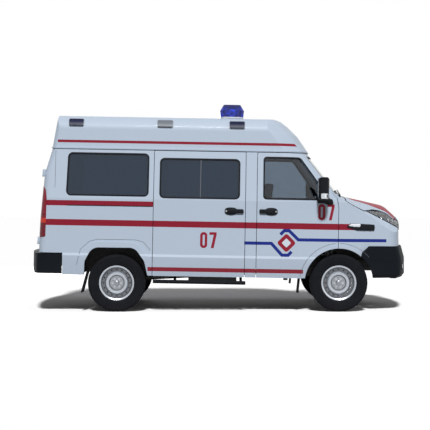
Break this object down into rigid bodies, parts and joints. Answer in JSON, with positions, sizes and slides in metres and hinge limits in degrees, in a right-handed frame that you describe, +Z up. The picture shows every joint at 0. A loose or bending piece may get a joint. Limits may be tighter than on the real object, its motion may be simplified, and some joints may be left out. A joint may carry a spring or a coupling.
{
  "type": "ambulance van",
  "caption": "High-roof short-wheelbase ambulance van with hinged cab and rear doors, opening bonnet, steering front wheels, roof light bar and furnished patient space.",
  "frame": {"origin": "on the ground under the middle of the vehicle's length, on its centre plane", "axes": "+X forward, +Y to the vehicle's left, +Z up"},
  "size_m": [4.8809, 2.4228, 2.6312],
  "materials": {
    "white_paint": "gloss",
    "black_plastic": "matte",
    "dark_glass": "tinted",
    "red_lens": "gloss",
    "blue_lens": "gloss",
    "clear_lens": "gloss",
    "chassis_steel": "dull",
    "cast": "rough",
    "rim_steel": "satin",
    "tyre": "rubber",
    "seat_fabric": "woven",
    "cabin_trim": "matte"
  },
  "bodies": {
    "vehicle": {"sliding_door": "white_paint", "side_windows": "dark_glass", "tail_lamps": "red_lens", "side_panel_right": "white_paint", "side_panel_left": "white_paint", "rear_sill": "white_paint", "windscreen_frame": "white_paint", "windscreen": "dark_glass", "front_fenders": "white_paint", "front_panel": "white_paint", "grille": "black_plastic", "headlamps": "clear_lens", "raised_roof": "white_paint", "drip_rail": "white_paint", "light_bar": "blue_lens", "roof_lamps": "blue_lens", "front_bumper": "black_plastic", "rear_bumper": "black_plastic", "wheel_housings": "chassis_steel", "floor_pan": "chassis_steel", "firewall": "chassis_steel", "dashboard": "cabin_trim", "cab_seats": "seat_fabric", "steering_wheel": "black_plastic", "partition": "cabin_trim", "patient_fittings": "cabin_trim", "chassis_frame": "chassis_steel", "engine_block": "cast", "fuel_tank": "black_plastic", "exhaust": "cast", "slider_handle_right": "black_plastic", "side_repeaters": "black_plastic", "side_step": "black_plastic", "mud_flaps": "tyre", "rear_axle": "cast", "leaf_springs": "chassis_steel", "front_suspension": "cast"},
    "cab_door_r": {"cab_door_right": "white_paint", "cab_glass_right": "dark_glass", "cab_handle_right": "black_plastic", "mirror_right": "black_plastic"},
    "cab_door_l": {"cab_door_left": "white_paint", "cab_glass_left": "dark_glass", "cab_handle_left": "black_plastic", "mirror_left": "black_plastic"},
    "rear_door_r": {"rear_door_right": "white_paint", "rear_glass_right": "dark_glass"},
    "rear_door_l": {"rear_door_left": "white_paint", "rear_glass_left": "dark_glass"},
    "bonnet_lid": {"bonnet": "white_paint"},
    "steer_r": {"knuckle_right": "cast"},
    "steer_l": {"knuckle_left": "cast"},
    "wheel_fr": {"rim_front_right": "rim_steel", "tyre_front_right": "tyre"},
    "wheel_fl": {"rim_front_left": "rim_steel", "tyre_front_left": "tyre"},
    "wheel_rr": {"rim_rear_right": "rim_steel", "tyre_rear_right": "tyre"},
    "wheel_rl": {"rim_rear_left": "rim_steel", "tyre_rear_left": "tyre"}
  },
  "joints": [
    {"name": "steer_right", "type": "hinge", "parent": "vehicle", "child": "steer_r", "pos_m": [1.513, -0.78, 0.362], "axis": [0, 0, 1], "range_deg": [-35, 35]},
    {"name": "spin_front_right", "type": "hinge", "parent": "steer_r", "child": "wheel_fr", "pos_m": [1.513, -0.855, 0.362], "axis": [0, 1, 0], "continuous": true},
    {"name": "spin_rear_right", "type": "hinge", "parent": "vehicle", "child": "wheel_rr", "pos_m": [-1.287, -0.855, 0.362], "axis": [0, 1, 0], "continuous": true},
    {"name": "cab_door_right", "type": "hinge", "parent": "vehicle", "child": "cab_door_r", "pos_m": [1.50922, -1.018, 1.17384], "axis": [0.0175, 0, 0.9998], "range_deg": [0, 70]},
    {"name": "rear_door_right", "type": "hinge", "parent": "vehicle", "child": "rear_door_r", "pos_m": [-2.25826, -0.8035, 1.32261], "axis": [0.0756, 0, 0.9971], "range_deg": [0, 170]},
    {"name": "steer_left", "type": "hinge", "parent": "vehicle", "child": "steer_l", "pos_m": [1.513, 0.78, 0.362], "axis": [0, 0, 1], "range_deg": [-35, 35]},
    {"name": "spin_front_left", "type": "hinge", "parent": "steer_l", "child": "wheel_fl", "pos_m": [1.513, 0.855, 0.362], "axis": [0, 1, 0], "continuous": true},
    {"name": "spin_rear_left", "type": "hinge", "parent": "vehicle", "child": "wheel_rl", "pos_m": [-1.287, 0.855, 0.362], "axis": [0, 1, 0], "continuous": true},
    {"name": "cab_door_left", "type": "hinge", "parent": "vehicle", "child": "cab_door_l", "pos_m": [1.50922, 1.018, 1.17384], "axis": [-0.0175, 0, -0.9998], "range_deg": [0, 70]},
    {"name": "rear_door_left", "type": "hinge", "parent": "vehicle", "child": "rear_door_l", "pos_m": [-2.25826, 0.8035, 1.32261], "axis": [-0.0756, 0, -0.9971], "range_deg": [0, 170]},
    {"name": "bonnet_hinge", "type": "hinge", "parent": "vehicle", "child": "bonnet_lid", "pos_m": [1.62552, 0, 1.44785], "axis": [0, -1, 0], "range_deg": [0, 60]}
  ],
  "couplings": [
    {"joint": "steer_left", "follows": "steer_right", "ratio": 1}
  ]
}
